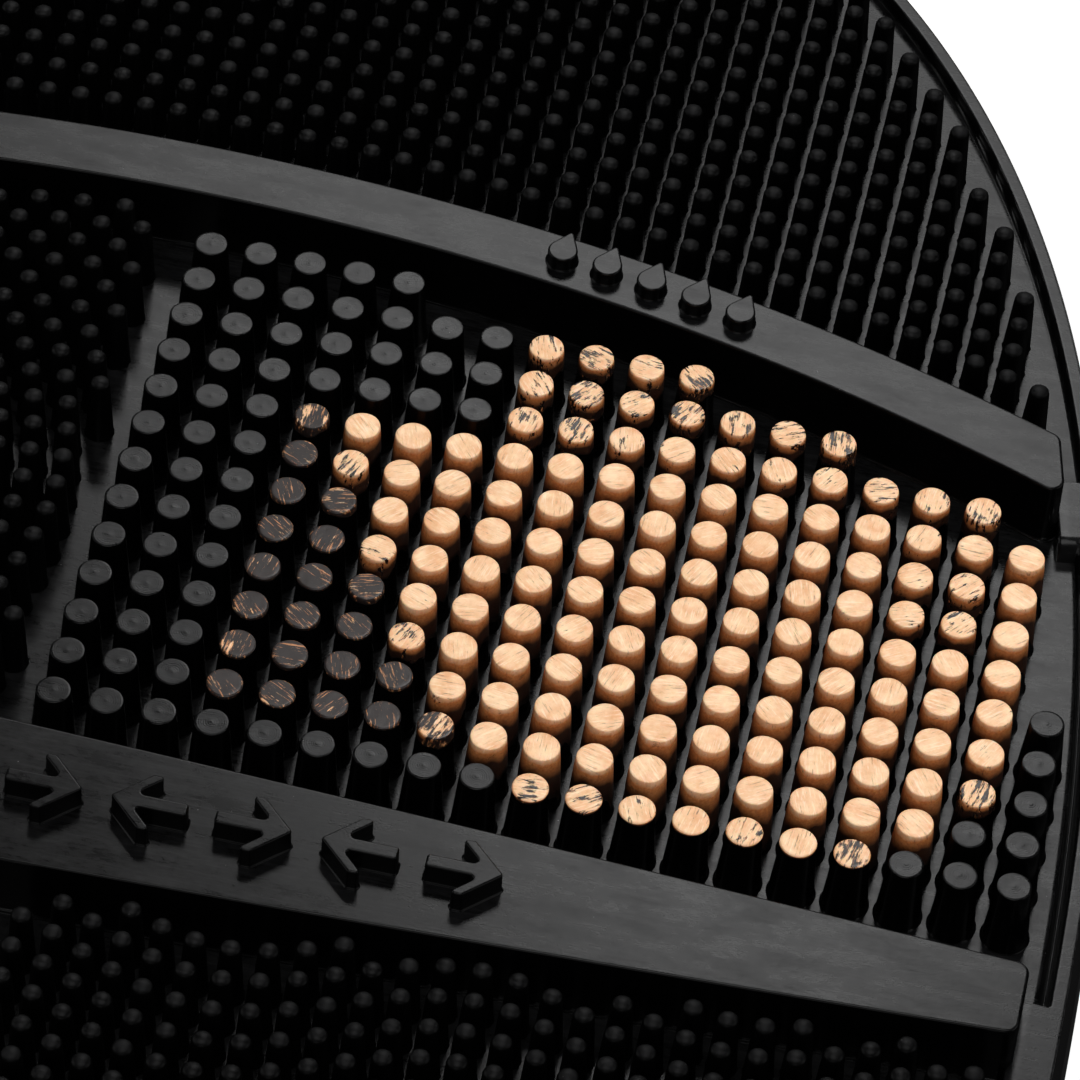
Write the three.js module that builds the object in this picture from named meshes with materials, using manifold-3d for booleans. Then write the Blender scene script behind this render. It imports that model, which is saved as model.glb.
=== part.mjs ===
// Brush cleaner: a soft pad with raised pins for washing cosmetic brushes, resting in a shallow tray.
// Millimetres, +Z up. The origin is the centre of the footprint, on the surface that it stands on.
// +X runs along the rows of large pins, and +Y runs along the length of the oval.
import * as THREE from "three";
import { mergeVertices } from "three/addons/utils/BufferGeometryUtils.js";
import Module from "manifold-3d";

const wasm = await Module();
wasm.setup();

// Driving dimensions
const pitch = 3.3; // between the centres of the large pins, both ways
const halfWidth = 66.9; // of the oval at the top of the rim, along X
const halfLength = 106.4; // the same, along Y
const roundness = 2.31; // exponent of the oval: 2 is an ellipse
const outlineSteps = 72; // segments round the oval
const fitGap = 0.3; // between neighbouring pieces

// Heights above the surface that the cleaner stands on
const footHeight = 1;
const trayFloor = 2.6;
const trayTop = 5;
const padBed = 5.6; // where the pin fields and the bands sit on the pad
const padFloor = 6.2; // between the pins
const rimTop = 7.4;
const pinTop = 11;
const bandTop = 11;

// Tray
const trayFlare = 0.4; // the foot of the wall stands outside the top of the rim
const trayWall = 1.4;
const seamChamfer = 0.25;
const footRadius = 6;
const footInset = 14;
const footCount = 6;

// Pad
const rimWidth = 1.4;
const rimLean = 0.4; // of the rim's outer wall
const rimRound = 0.15;
const grooveWidth = 0.7; // between the rim and the pin fields
const centreInset = 2.9; // from the outer edge to the ends of the centre band
const arcInset = 3.2; // the same for the arc bands
const bandCorner = 1.1;

// Pins. A rib stands for one row of thin pins.
const pinWidth = 2.15; // a square with the same area as the middle section of a round, tapered pin
const firstColumn = 0.8 * pitch;
const firstRow = 2.5 * pitch;
const pinToBand = 1.03 * pitch;
const pinToEdge = 1.18 * pitch;
const ribWidth = 1;
const ribToBand = 0.6 * pitch;
const ribToEdge = 3.9;
const ribToMiddle = 0.35 * pitch; // from the line between the left and right fields
const ringPitch = 0.65 * pitch; // rings of thin pins round one centre
const ringCentre = new THREE.Vector2(-9.1 * pitch, 7.33 * pitch);
const smallestRing = 0.1 * pitch;
const ringSteps = 28;
const wavePitch = 0.7 * pitch; // wavy rows, one below the other
const waveLength = 9.35 * pitch;
const waveRise = 0.68 * pitch;
const waveCrest = 9.8 * pitch;
const firstWave = 3.19 * pitch;
const waveSteps = 26;
const capRibPitch = 0.672 * pitch; // straight columns beyond each arc band
const capRibShift = -0.106 * pitch; // of the column nearest to the middle
const capRibToBand = 0.92 * pitch;

// Bands: the centre band's half width follows a curve, and each arc band is a ring sector
const centreHalf = 1.655 * pitch;
const centreTaper = 0.031;
const centreCurve = 0.0006 / pitch;
const arcOuter = 50 * pitch;
const arcInner = 48.6 * pitch;
const arcCentre = -32.8 * pitch;

// Raised marks: arrows on the centre band and drops on the arc bands
const arrowHeight = 1.3 * pitch;
const arrowLength = 1.45 * pitch;
const arrowStroke = 0.3 * pitch;
const arrowRise = 1.5;
const arrowCount = 5;
const firstArrow = 1.3 * pitch;
const arrowSpacing = 1.95 * pitch;
const dropRadius = 0.3 * pitch;
const dropTip = 0.6 * pitch;
const dropRise = 1;
const dropCount = 5;
const firstDrop = 7.6 * pitch;
const dropSpacing = 0.93 * pitch;

// Materials
const silicone = { color: 0x0b0b0c, roughness: 0.5, metalness: 0 };
const plastic = { color: 0x101011, roughness: 0.4, metalness: 0 };
const rubber = { color: 0x1b1b1c, roughness: 0.85, metalness: 0 };

// ---------------------------------------------------------------- solids

// A closed geometry as a solid. Triangles with no area, such as those on a lathe's axis, are dropped.
function solid(geometry) {
  const bare = geometry.clone();
  bare.deleteAttribute("normal");
  bare.deleteAttribute("uv");
  const merged = mergeVertices(bare, 1e-4);
  const index = merged.index.array;
  const triVerts = [];
  for (let i = 0; i < index.length; i += 3) {
    const [a, b, c] = [index[i], index[i + 1], index[i + 2]];
    if (a !== b && b !== c && c !== a) {
      triVerts.push(a, b, c);
    }
  }
  const vertProperties = new Float32Array(merged.attributes.position.array);
  return new wasm.Manifold(
    new wasm.Mesh({ numProp: 3, vertProperties, triVerts: new Uint32Array(triVerts) })
  );
}

// A solid as a named mesh of its own material.
function piece(name, shape, look) {
  const result = shape.getMesh();
  const geometry = new THREE.BufferGeometry();
  const positions = new Float32Array(result.numVert * 3);
  for (let i = 0; i < result.numVert; i++) {
    positions.set(result.vertProperties.subarray(i * result.numProp, i * result.numProp + 3), i * 3);
  }
  geometry.setAttribute("position", new THREE.BufferAttribute(positions, 3));
  geometry.setIndex(new THREE.BufferAttribute(new Uint32Array(result.triVerts), 1));
  geometry.computeVertexNormals();
  const mesh = new THREE.Mesh(geometry, new THREE.MeshStandardMaterial(look));
  mesh.name = name;
  return mesh;
}

// A flat outline pushed up from one height to another.
function slab(points, low, high) {
  const geometry = new THREE.ExtrudeGeometry(new THREE.Shape(points), {
    depth: high - low,
    bevelEnabled: false,
  });
  return solid(geometry.translate(0, 0, low));
}

function box(x0, x1, y0, y1, z0, z1) {
  const geometry = new THREE.BoxGeometry(x1 - x0, y1 - y0, z1 - z0);
  return solid(geometry.translate((x0 + x1) / 2, (y0 + y1) / 2, (z0 + z1) / 2));
}

// The same solid turned half a turn about the vertical axis.
function turned(shape) {
  return shape.rotate([0, 0, 180]);
}

// ---------------------------------------------------------------- the oval

// A point of the oval, moved outwards along the oval's normal.
function ovalPoint(angle, outwards) {
  const c = Math.cos(angle);
  const s = Math.sin(angle);
  const x = halfWidth * Math.sign(c) * Math.abs(c) ** (2 / roundness);
  const y = halfLength * Math.sign(s) * Math.abs(s) ** (2 / roundness);
  const nx = Math.sign(x) * Math.abs(x / halfWidth) ** (roundness - 1) / halfWidth;
  const ny = Math.sign(y) * Math.abs(y / halfLength) ** (roundness - 1) / halfLength;
  const length = Math.hypot(nx, ny);
  return new THREE.Vector2(x + (outwards * nx) / length, y + (outwards * ny) / length);
}

// How far along Y the oval, drawn in by an inset, reaches at x. It is 0 outside the oval.
function ovalReach(x, inset) {
  const share = 1 - Math.abs(x / (halfWidth - inset)) ** roundness;
  return share > 0 ? (halfLength - inset) * share ** (1 / roundness) : 0;
}

// How far along X the oval, drawn in by an inset, reaches at y.
function ovalWidthAt(y, inset) {
  const share = 1 - Math.abs(y / (halfLength - inset)) ** roundness;
  return share > 0 ? (halfWidth - inset) * share ** (1 / roundness) : 0;
}

// A section swept round the oval. The section's points are [outwards, height], and null outwards is
// the axis. A lathe makes it on a circle, and each point then moves to its place by the oval.
function sweep(section) {
  const circle = 500;
  const points = section.map(([outwards, z]) => new THREE.Vector2(outwards === null ? 0 : circle + outwards, z));
  const geometry = new THREE.LatheGeometry(points, outlineSteps).rotateX(Math.PI / 2);
  const place = geometry.attributes.position;
  for (let i = 0; i < place.count; i++) {
    const radius = Math.hypot(place.getX(i), place.getY(i));
    if (radius < 1) {
      place.setXY(i, 0, 0);
    } else {
      const step = (2 * Math.PI) / outlineSteps;
      const turn = Math.round(Math.atan2(place.getY(i), place.getX(i)) / step) * step;
      const point = ovalPoint(turn, radius - circle);
      place.setXY(i, point.x, point.y);
    }
  }
  return solid(geometry);
}

// ---------------------------------------------------------------- outlines of the bands

// An outline whose marked corners are rounded by a small curve.
function roundCorners(points, corners, size) {
  const result = [];
  points.forEach((point, i) => {
    if (!corners.includes(i)) {
      result.push(point);
      return;
    }
    const before = points[(i + points.length - 1) % points.length];
    const after = points[(i + 1) % points.length];
    const start = point.clone().add(before.clone().sub(point).setLength(size));
    const end = point.clone().add(after.clone().sub(point).setLength(size));
    result.push(...new THREE.QuadraticBezierCurve(start, point, end).getPoints(3));
  });
  return result;
}

// A band between two edges, each a height y for an x, which ends at the inset oval.
function bandOutline(upperEdge, lowerEdge, inset, steps) {
  const reach = (edge) => {
    let x = halfWidth;
    for (let i = 0; i < 20; i++) {
      x = ovalWidthAt(edge(x), inset);
    }
    return x;
  };
  const along = (edge, direction) => {
    const end = reach(edge);
    return Array.from({ length: steps + 1 }, (_, i) => {
      const x = direction * end * (1 - (2 * i) / steps);
      return new THREE.Vector2(x, edge(x));
    });
  };
  const points = [...along(lowerEdge, -1), ...along(upperEdge, 1)];
  return roundCorners(points, [0, steps, steps + 1, 2 * steps + 1], bandCorner);
}

function centreEdge(x) {
  return centreHalf - centreTaper * Math.abs(x) - centreCurve * x * x;
}

function arcEdge(radius) {
  return (x) => arcCentre + Math.sqrt(radius * radius - x * x);
}

const arcUpper = arcEdge(arcOuter);
const arcLower = arcEdge(arcInner);

// A band's outline made wider all round and longer than the oval, to cut room for it.
function bandRoom(upperEdge, lowerEdge, margin) {
  const steps = 16;
  const far = halfWidth + 5;
  const xs = Array.from({ length: steps + 1 }, (_, i) => -far + (2 * far * i) / steps);
  const lower = xs.map((x) => new THREE.Vector2(x, lowerEdge(x) - margin));
  const upper = xs.map((x) => new THREE.Vector2(x, upperEdge(x) + margin)).reverse();
  return [...lower, ...upper];
}

// ---------------------------------------------------------------- raised marks

// An arrow along X, as one outline.
function arrowOutline(x, direction) {
  const half = arrowHeight / 2;
  const head = arrowHeight / 2;
  const stroke = arrowStroke / 2;
  const tip = arrowLength / 2;
  const corners = [
    [tip, 0],
    [tip - head, half],
    [tip - head - arrowStroke, half],
    [tip - head - arrowStroke + half - stroke, stroke],
    [-tip, stroke],
    [-tip, -stroke],
    [tip - head - arrowStroke + half - stroke, -stroke],
    [tip - head - arrowStroke, -half],
    [tip - head, -half],
  ];
  return corners.map(([u, v]) => new THREE.Vector2(x + direction * u, direction * v));
}

// A drop that points away from the oval's middle, as one outline.
function dropOutline(x) {
  const y = (arcUpper(x) + arcLower(x)) / 2;
  const lean = Math.asin(x / arcInner);
  const points = [new THREE.Vector2(0, dropTip)];
  for (let i = 0; i <= 6; i++) {
    const angle = Math.PI - 0.45 + (i / 6) * (Math.PI + 0.9);
    points.push(new THREE.Vector2(Math.cos(angle), Math.sin(angle)).multiplyScalar(dropRadius));
  }
  const middle = new THREE.Vector2();
  return points.map((point) => point.rotateAround(middle, -lean).add(new THREE.Vector2(x, y)));
}

// ---------------------------------------------------------------- the pieces

function trayShell() {
  return sweep([
    [null, footHeight],
    [trayFlare - 0.5, footHeight],
    [trayFlare, footHeight + 0.5],
    [0.1 + 0.05, trayTop - seamChamfer],
    [0.1 - seamChamfer, trayTop],
    [-trayWall, trayTop],
    [-trayWall, trayFloor],
    [null, trayFloor],
  ]);
}

function foot() {
  const disc = new THREE.CylinderGeometry(footRadius, footRadius - 0.4, footHeight, 20);
  return solid(disc.rotateX(Math.PI / 2).rotateX(Math.PI).translate(0, 0, footHeight / 2));
}

// The blocks that join the rim to the ends of the bands.
function bridges() {
  const low = padBed - 0.4;
  const ring = sweep([
    [-centreInset + fitGap, low],
    [-0.8, low],
    [-0.8, rimTop],
    [-centreInset + fitGap, rimTop],
    [-centreInset + fitGap, low],
  ]);
  const centre = slab(bandRoom(centreEdge, (x) => -centreEdge(x), 0), low - 1, rimTop + 1);
  const arc = slab(bandRoom(arcUpper, arcLower, 0), low - 1, rimTop + 1);
  const places = centre.add(arc).add(turned(arc));
  return ring.intersect(places);
}

function padBase() {
  const base = sweep([
    [null, trayFloor],
    [-trayWall - fitGap, trayFloor],
    [-trayWall - fitGap, trayTop],
    [0.1 - seamChamfer, trayTop],
    [0.1, trayTop + seamChamfer],
    [-rimLean, rimTop - rimRound],
    [-rimLean - rimRound, rimTop],
    [-rimWidth, rimTop],
    [-rimWidth, padBed],
    [null, padBed],
  ]);
  return base.add(bridges());
}

function centreBand() {
  const outline = bandOutline(centreEdge, (x) => -centreEdge(x), centreInset, 14);
  let band = slab(outline, padBed, bandTop);
  for (let i = 0; i < arrowCount; i++) {
    const outlined = arrowOutline(firstArrow + i * arrowSpacing, i % 2 ? -1 : 1);
    const arrow = slab(outlined, bandTop - 0.5, bandTop + arrowRise);
    band = band.add(arrow).add(turned(arrow));
  }
  return band;
}

function arcBand() {
  let band = slab(bandOutline(arcUpper, arcLower, arcInset, 14), padBed, bandTop);
  for (let i = 0; i < dropCount; i++) {
    band = band.add(slab(dropOutline(firstDrop + i * dropSpacing), bandTop - 0.5, bandTop + dropRise));
  }
  return band;
}

// All of the pad inside the rim but the bands, drawn in from the outer edge and from the bands.
function openArea(edgeInset, bandGap, low, high) {
  const all = sweep([
    [null, low],
    [-edgeInset, low],
    [-edgeInset, high],
    [null, high],
  ]);
  const centre = slab(bandRoom(centreEdge, (x) => -centreEdge(x), bandGap), low - 1, high + 1);
  const arc = slab(bandRoom(arcUpper, arcLower, bandGap), low - 1, high + 1);
  return all.subtract(centre).subtract(arc);
}

// The thin sheet that a field of pins stands on.
function sheet(keep) {
  return openArea(rimWidth + grooveWidth, fitGap, padBed, padFloor).intersect(keep);
}

// Where the ribs of a field may stand.
function ribRoom(bandGap, keep) {
  return openArea(ribToEdge, bandGap, padFloor - 0.3, pinTop).intersect(keep);
}

const farAway = () => 40 * pitch;
const tall = [-1, 20];
const beyondArc = slab(bandRoom(farAway, arcUpper, 0), ...tall);
const nearArc = slab(bandRoom(arcLower, () => 0, 0), ...tall);

// The far half of the pad between two places along X, from the centre band to the arc band.
function sideKeep(x0, x1) {
  return box(x0, x1, 0, 20 * pitch, ...tall).intersect(nearArc);
}

// Large pins stand on a square grid, wherever they clear the arc band and the rim.
function largePinField() {
  const half = pinWidth / 2;
  const pins = [];
  for (let x = firstColumn; x < halfWidth; x += pitch) {
    for (let y = firstRow; y < arcLower(x) - pinToBand; y += pitch) {
      if (y < ovalReach(x, pinToEdge)) {
        pins.push(box(x - half, x + half, y - half, y + half, padFloor - 0.3, pinTop));
      }
    }
  }
  return wasm.Manifold.union([sheet(sideKeep(fitGap / 2, halfWidth)), ...pins]);
}

// A round wall of rib thickness about the ring centre.
function ringRib(radius) {
  const inner = radius - ribWidth / 2;
  const outer = radius + ribWidth / 2;
  const low = padFloor - 0.3;
  const section = [
    [inner, low],
    [outer, low],
    [outer, pinTop],
    [inner, pinTop],
    [inner, low],
  ];
  const points = section.map(([r, z]) => new THREE.Vector2(r, z));
  const geometry = new THREE.LatheGeometry(points, ringSteps).rotateX(Math.PI / 2);
  return solid(geometry.translate(ringCentre.x, ringCentre.y, 0));
}

function ringPinField() {
  const rings = [];
  for (let r = smallestRing + ringPitch; r < halfWidth; r += ringPitch) {
    rings.push(ringRib(r));
  }
  const room = ribRoom(ribToBand, sideKeep(-halfWidth, -ribToMiddle));
  const ribs = wasm.Manifold.union(rings).intersect(room);
  return sheet(sideKeep(-halfWidth, -fitGap / 2)).add(ribs);
}

// A wavy wall of rib thickness along X, below the centre band.
function waveRib(y) {
  const edge = (side) => {
    return Array.from({ length: waveSteps + 1 }, (_, i) => {
      const x = (halfWidth * i) / waveSteps;
      const wave = waveRise * Math.cos((2 * Math.PI * (x - waveCrest)) / waveLength);
      return new THREE.Vector2(x, y + wave + (side * ribWidth) / 2);
    });
  };
  return slab([...edge(-1), ...edge(1).reverse()], padFloor - 0.3, pinTop);
}

function wavePinField() {
  const waves = [];
  for (let y = -firstWave + 2 * wavePitch; y > -arcLower(0); y -= wavePitch) {
    waves.push(waveRib(y));
  }
  const room = turned(ribRoom(ribToBand, sideKeep(-halfWidth, -ribToMiddle)));
  const ribs = wasm.Manifold.union(waves).intersect(room);
  return turned(sheet(sideKeep(-halfWidth, -fitGap / 2))).add(ribs);
}

// Straight, evenly spaced columns along Y.
function capPinField() {
  const columns = [];
  const reach = Math.floor(halfWidth / capRibPitch);
  for (let i = -reach; i <= reach; i++) {
    const middle = capRibShift + i * capRibPitch;
    const [x0, x1] = [middle - ribWidth / 2, middle + ribWidth / 2];
    columns.push(box(x0, x1, 0, halfLength, padFloor - 0.3, pinTop));
  }
  const ribs = wasm.Manifold.union(columns).intersect(ribRoom(capRibToBand, beyondArc));
  return sheet(beyondArc).add(ribs);
}

// ---------------------------------------------------------------- the assembly

const cleaner = new THREE.Group();

const tray = new THREE.Group();
tray.add(piece("tray_shell", trayShell(), plastic));
for (let i = 0; i < footCount; i++) {
  const place = ovalPoint(((i + 0.5) * 2 * Math.PI) / footCount, -footInset);
  const mesh = piece(`foot_${i + 1}`, foot(), rubber);
  mesh.position.set(place.x, place.y, 0);
  tray.add(mesh);
}
cleaner.add(tray);

const pad = new THREE.Group();
pad.add(piece("pad_base", padBase(), silicone));
pad.add(piece("centre_band", centreBand(), silicone));
pad.add(piece("upper_arc_band", arcBand(), silicone));
pad.add(piece("lower_arc_band", turned(arcBand()), silicone));
pad.add(piece("large_pins_right", largePinField(), silicone));
pad.add(piece("large_pins_left", turned(largePinField()), silicone));
pad.add(piece("ring_pins_left", ringPinField(), silicone));
pad.add(piece("wave_pins_right", wavePinField(), silicone));
pad.add(piece("cap_pins_upper", capPinField(), silicone));
pad.add(piece("cap_pins_lower", turned(capPinField()), silicone));
cleaner.add(pad);

export default cleaner;
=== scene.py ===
"""Looks of the brush cleaner: a black silicone pad of pins and bands, in a shallow tray on rubber feet."""

import math

import bpy
import numpy as np
from mathutils import Matrix, Quaternion, Vector


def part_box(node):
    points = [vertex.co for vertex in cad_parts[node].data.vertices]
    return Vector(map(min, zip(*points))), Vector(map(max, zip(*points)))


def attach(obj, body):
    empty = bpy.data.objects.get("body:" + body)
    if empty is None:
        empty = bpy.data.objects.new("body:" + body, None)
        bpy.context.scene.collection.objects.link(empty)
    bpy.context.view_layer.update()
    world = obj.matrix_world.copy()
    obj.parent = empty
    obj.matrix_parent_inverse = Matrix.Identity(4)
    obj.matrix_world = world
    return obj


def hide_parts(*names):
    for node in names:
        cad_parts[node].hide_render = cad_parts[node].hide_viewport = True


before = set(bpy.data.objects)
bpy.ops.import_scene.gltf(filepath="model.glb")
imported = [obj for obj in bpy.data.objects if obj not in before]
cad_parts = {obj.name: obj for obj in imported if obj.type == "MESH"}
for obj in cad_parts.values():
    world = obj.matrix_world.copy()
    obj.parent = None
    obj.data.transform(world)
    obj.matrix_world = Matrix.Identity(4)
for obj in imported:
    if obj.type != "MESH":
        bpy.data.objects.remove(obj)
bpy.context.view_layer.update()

# ---------------------------------------------------------------- driving dimensions, in metres

MM = 0.001
PITCH = 3.3 * MM  # between the centres of the large pins, both ways
ROUNDNESS = 2.31  # exponent of the oval: 2 is an ellipse
SWEEP_STEPS = 480

# Heights and the oval's size, from the frame
LIP = 0.1 * MM  # the flange stands this far outside the top of the rim
TRAY_WALL = 1.4 * MM
PLUG_GAP = 0.3 * MM  # between the pad's plug and the tray's wall
HALF_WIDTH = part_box("pad_base")[1].x - LIP
HALF_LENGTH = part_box("pad_base")[1].y - LIP
TRAY_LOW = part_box("tray_shell")[0].z
TRAY_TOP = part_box("tray_shell")[1].z
TRAY_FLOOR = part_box("pad_base")[0].z
RIM_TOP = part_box("pad_base")[1].z
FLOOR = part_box("large_pins_right")[0].z + 0.6 * MM  # between the pins
PIN_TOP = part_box("large_pins_right")[1].z
ARROW_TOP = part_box("centre_band")[1].z
DROP_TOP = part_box("upper_arc_band")[1].z

# Rim and bands
RIM_WIDTH = 1.4 * MM
RIM_LEAN = 0.4 * MM  # of its outer wall
GROOVE_WIDTH = 0.7 * MM
GROOVE_DEPTH = 1.1 * MM
CENTRE_INSET = 2.9 * MM  # from the outer edge to the ends of the centre band
ARC_INSET = 3.2 * MM  # the same for the arc bands
LEDGE = 1.0 * MM  # a block runs on this far past its band, beside the thin pins
BAND_CORNER = 0.9 * MM
CENTRE_HALF = 1.655 * PITCH
CENTRE_TAPER = 0.031
CENTRE_CURVE = 0.0006 / PITCH
ARC_OUTER = 50 * PITCH
ARC_INNER = 48.6 * PITCH
ARC_CENTRE = -32.8 * PITCH

# Large pins
PIN_RADIUS = 1.08 * MM  # at the top
PIN_FOOT = 1.44 * MM
FIRST_COLUMN = 0.8 * PITCH
FIRST_ROW = 2.5 * PITCH
PIN_TO_BAND = 1.03 * PITCH
PIN_TO_EDGE = 1.18 * PITCH

# Thin pins
RING_CENTRE = (-9.06 * PITCH, 7.33 * PITCH)
RING_PITCH = 0.65 * PITCH
SMALLEST_RING = 0.1 * PITCH
RING_STEP = 0.7 * PITCH
WAVE_PITCH = 0.7 * PITCH
WAVE_LENGTH = 9.35 * PITCH
WAVE_RISE = 0.68 * PITCH
WAVE_CREST = 9.84 * PITCH
FIRST_WAVE = 3.19 * PITCH
WAVE_STEP = 0.67 * PITCH
COLUMN_PITCH = 0.672 * PITCH
COLUMN_PHASE = 5.27 * PITCH
ROW_PITCH = 0.735 * PITCH
THIN_TO_EDGE = 3.9 * MM


# ---------------------------------------------------------------- the oval and the bands' edges


def oval(turn, outwards):
    """Points of the oval moved outwards along its normal, as x and y."""
    c, s = np.cos(turn), np.sin(turn)
    x = HALF_WIDTH * np.sign(c) * np.abs(c) ** (2 / ROUNDNESS)
    y = HALF_LENGTH * np.sign(s) * np.abs(s) ** (2 / ROUNDNESS)
    nx = np.sign(x) * np.abs(x / HALF_WIDTH) ** (ROUNDNESS - 1) / HALF_WIDTH
    ny = np.sign(y) * np.abs(y / HALF_LENGTH) ** (ROUNDNESS - 1) / HALF_LENGTH
    length = np.hypot(nx, ny)
    return x + outwards * nx / length, y + outwards * ny / length


def turn_at(y):
    """The turn at which the right half of the oval reaches a y."""
    return math.asin(math.copysign(abs(y / HALF_LENGTH) ** (ROUNDNESS / 2), y))


def inside_oval(x, y, inset):
    across = np.abs(x / (HALF_WIDTH - inset)) ** ROUNDNESS
    return across + np.abs(y / (HALF_LENGTH - inset)) ** ROUNDNESS < 1


def width_at(y, inset):
    share = 1 - np.abs(y / (HALF_LENGTH - inset)) ** ROUNDNESS
    return (HALF_WIDTH - inset) * np.maximum(share, 0) ** (1 / ROUNDNESS)


def centre_edge(x):
    return CENTRE_HALF - CENTRE_TAPER * np.abs(x) - CENTRE_CURVE * x * x


def centre_lower(x):
    return -centre_edge(x)


def arc_upper(x):
    return ARC_CENTRE + np.sqrt(ARC_OUTER**2 - x * x)


def arc_lower(x):
    return ARC_CENTRE + np.sqrt(ARC_INNER**2 - x * x)


# ---------------------------------------------------------------- meshes


class Shape:
    """Points and faces gathered from many closed bodies, with values kept for each point."""

    def __init__(self):
        self.points = []
        self.faces = []
        self.values = {}
        self.count = 0

    def add(self, points, faces, **values):
        self.points.append(points)
        self.faces.extend([tuple(corner + self.count for corner in face) for face in faces])
        for name, value in values.items():
            self.values.setdefault(name, []).append(value)
        self.count += len(points)

    def build(self, name, material, body, slot, *nodes):
        mesh = bpy.data.meshes.new(name)
        mesh.from_pydata(np.concatenate(self.points).tolist(), [], self.faces)
        for key, parts in self.values.items():
            data = np.concatenate(parts)
            kind = "FLOAT" if data.ndim == 1 else "FLOAT_VECTOR"
            field = "value" if data.ndim == 1 else "vector"
            layer = mesh.attributes.new(key, kind, "POINT")
            layer.data.foreach_set(field, data.astype(np.float32).ravel())
        mesh.shade_smooth()
        mesh.materials.append(material)
        piece = bpy.data.objects.new(name, mesh)
        bpy.context.scene.collection.objects.link(piece)
        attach(piece, body)
        if nodes:
            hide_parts(*nodes)
        return piece


def ring_faces(rings, steps, bottom=True, top=True):
    """Faces between rings of points that are stored one after another, with flat ends."""
    faces = []
    for ring in range(rings - 1):
        low, high = ring * steps, (ring + 1) * steps
        for i in range(steps):
            j = (i + 1) % steps
            faces.append((low + i, low + j, high + j, high + i))
    if bottom:
        faces.append(tuple(reversed(range(steps))))
    if top:
        faces.append(tuple(range((rings - 1) * steps, rings * steps)))
    return faces


def quarter(radius, count=5):
    """Steps of a rounded edge, as how far in and how far below the top each one is."""
    turns = np.linspace(0, math.pi / 2, count)
    return [(radius * (1 - math.cos(t)), radius * (1 - math.sin(t))) for t in turns]


def sweep(section, turns=np.arange(SWEEP_STEPS) * 2 * math.pi / SWEEP_STEPS):
    """A section of (outwards, height) swept round the oval, as a grid of rings."""
    grid = np.empty((len(section), len(turns), 3))
    for row, (outwards, z) in enumerate(section):
        grid[row, :, 0], grid[row, :, 1] = oval(turns, outwards)
        grid[row, :, 2] = z
    return grid


def add_sweep(shape, grid):
    rings, steps = grid.shape[:2]
    shape.add(grid.reshape(-1, 3), ring_faces(rings, steps))


def add_lathe(shape, section, steps, centre, **values):
    """A section of (radius, height) turned about an upright axis."""
    turns = np.arange(steps) * 2 * math.pi / steps
    radius = np.array([r for r, z in section])[:, None]
    points = np.empty((len(section), steps, 3))
    points[:, :, 0] = centre[0] + radius * np.cos(turns)
    points[:, :, 1] = centre[1] + radius * np.sin(turns)
    points[:, :, 2] = np.array([z for r, z in section])[:, None]
    shape.add(points.reshape(-1, 3), ring_faces(len(section), steps), **values)


def offset_ring(outline, distance):
    """An anticlockwise outline moved outwards, each point along the mean of its edges' normals."""
    before = outline - np.roll(outline, 1, axis=0)
    after = np.roll(outline, -1, axis=0) - outline
    normals = []
    for edge in (before, after):
        length = np.linalg.norm(edge, axis=1, keepdims=True)
        normals.append(np.stack([edge[:, 1], -edge[:, 0]], axis=1) / length)
    mean = normals[0] + normals[1]
    share = np.maximum((mean * normals[0]).sum(axis=1, keepdims=True), 0.6)
    return outline + distance * mean / share


def add_prism(shape, outline, low, high, bevel, flare, draft=0.0):
    """A raised outline with a flared foot, walls that lean in, and a rounded top edge."""
    steps = [(flare, low - 0.2 * MM)]
    for turn in np.linspace(0, math.pi / 2, 4):
        steps.append((flare * (1 - math.sin(turn)), low + flare * (1 - math.cos(turn))))
    lean = draft * (high - low)
    for inwards, below in quarter(bevel):
        steps.append((-lean - inwards, high - below))
    steps.append((-lean - 1.3 * bevel, high))
    points = []
    for outwards, z in steps:
        ring = offset_ring(outline, outwards)
        points.append(np.column_stack([ring, np.full(len(ring), z)]))
    shape.add(np.concatenate(points), ring_faces(len(steps), len(outline)))


def round_corners(points, corners, radius, count=6):
    """An outline whose marked corners are replaced by arcs of a circle."""
    result = []
    for i, point in enumerate(points):
        if i not in corners:
            result.append(point)
            continue
        legs = [points[i - 1] - point, points[(i + 1) % len(points)] - point]
        legs = [leg / np.linalg.norm(leg) for leg in legs]
        half = math.acos(float(legs[0] @ legs[1])) / 2
        middle = point + (legs[0] + legs[1]) / (2 * math.cos(half)) * radius / math.sin(half)
        start, end = (point + leg * radius / math.tan(half) - middle for leg in legs)
        sweep_angle = math.pi - 2 * half
        for t in np.linspace(0, 1, count):
            share = (math.sin((1 - t) * sweep_angle), math.sin(t * sweep_angle))
            result.append(middle + (share[0] * start + share[1] * end) / math.sin(sweep_angle))
    return np.array(result)


def band_outline(upper, lower, inset, steps=90):
    sides = []
    for edge, direction in ((lower, -1), (upper, 1)):
        end = 0.9 * HALF_WIDTH
        for _ in range(20):
            end = width_at(edge(end), inset)
        x = direction * end * np.linspace(1, -1, steps + 1)
        sides.append(np.column_stack([x, edge(x)]))
    points = list(sides[0]) + list(sides[1])
    # The curve of a corner replaces the points that lie closer to it than its size
    keep = [i for i in range(len(points)) if not near_corner(i, steps, points)]
    points = [points[i] for i in keep]
    corners = [i for i, kept in enumerate(keep) if kept in (0, steps, steps + 1, 2 * steps + 1)]
    return round_corners(points, corners, BAND_CORNER)


def near_corner(i, steps, points):
    corners = (0, steps, steps + 1, 2 * steps + 1)
    gaps = [np.linalg.norm(points[i] - points[corner]) for corner in corners]
    return i not in corners and min(gaps) < 2.2 * BAND_CORNER


# ---------------------------------------------------------------- materials


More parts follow.
